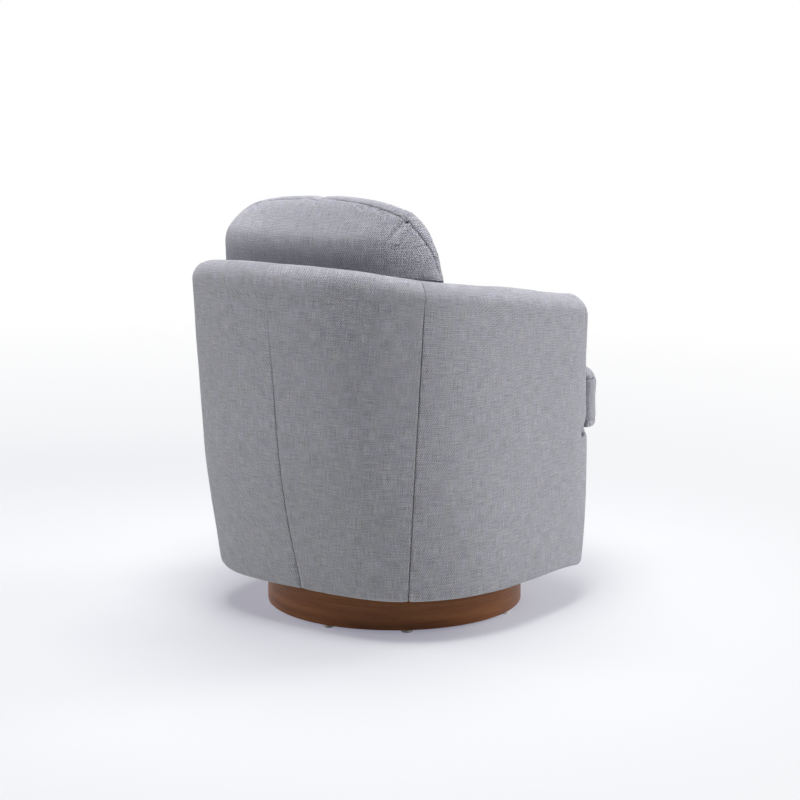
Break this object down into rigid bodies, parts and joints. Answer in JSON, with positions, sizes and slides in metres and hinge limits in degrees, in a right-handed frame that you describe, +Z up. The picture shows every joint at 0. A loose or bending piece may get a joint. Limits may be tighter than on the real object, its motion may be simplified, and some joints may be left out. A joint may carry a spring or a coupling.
{
  "type": "swivel barrel chair",
  "caption": "Upholstered barrel armchair with a rolled rim, a T-shaped loose seat cushion and a loose back pillow, turning on a low round wooden plinth.",
  "frame": {"origin": "on the floor, on the swivel's axis, at the centre of the plinth", "axes": "+Z up, the sitter faces -Y, the sitter's left hand is at +X"},
  "size_m": [0.652, 0.8077, 0.8254],
  "materials": {
    "linen": "matte",
    "walnut": "satin",
    "plywood": "matte",
    "steel": "satin",
    "nylon": "satin",
    "felt": "matte",
    "black_cloth": "matte"
  },
  "bodies": {
    "base": {"plinth_ring": "walnut", "plinth_deck": "plywood", "plinth_block_1": "plywood", "plinth_block_2": "plywood", "plinth_block_3": "plywood", "plinth_block_4": "plywood", "glide_1": "nylon", "glide_2": "nylon", "glide_3": "nylon", "glide_4": "nylon", "glide_5": "nylon", "glide_6": "nylon", "glide_7": "nylon", "glide_8": "nylon", "swivel_lower_plate": "steel", "swivel_ball_ring": "steel", "swivel_rivet": "steel", "lower_plate_screw_1": "steel", "lower_plate_screw_2": "steel", "lower_plate_screw_3": "steel", "lower_plate_screw_4": "steel"},
    "chair": {"swivel_upper_plate": "steel", "upper_plate_screw_1": "steel", "upper_plate_screw_2": "steel", "upper_plate_screw_3": "steel", "upper_plate_screw_4": "steel", "chassis_board": "plywood", "dust_cover": "black_cloth", "barrel_frame_back": "plywood", "barrel_frame_left": "plywood", "barrel_frame_right": "plywood", "front_rail": "plywood", "seat_rail_left": "plywood", "seat_rail_right": "plywood", "seat_rail_back": "plywood", "seat_rail_front": "plywood", "zigzag_spring_1": "steel", "zigzag_spring_2": "steel", "zigzag_spring_3": "steel", "zigzag_spring_4": "steel", "zigzag_spring_5": "steel", "spring_clip_bar_front": "steel", "spring_clip_bar_back": "steel", "deck_pad": "felt", "cover_back_left": "linen", "cover_back_right": "linen", "cover_side_left": "linen", "cover_side_right": "linen", "arm_front_left": "linen", "arm_front_right": "linen", "front_apron": "linen", "inner_back_pad": "linen", "inner_arm_pad_left": "linen", "inner_arm_pad_right": "linen"},
    "seat_cushion": {"seat_cushion": "linen"},
    "back_pillow": {"back_pillow": "linen"}
  },
  "joints": [
    {"name": "swivel", "type": "hinge", "parent": "base", "child": "chair", "pos_m": [0, 0, 0.088], "axis": [0, 0, 1], "continuous": true},
    {"name": "seat_cushion_lift", "type": "slide", "parent": "chair", "child": "seat_cushion", "axis": [0, 0, 1], "range_m": [0, 0.12]},
    {"name": "back_pillow_lift", "type": "slide", "parent": "seat_cushion", "child": "back_pillow", "axis": [0, 0, 1], "range_m": [0, 0.25]}
  ]
}
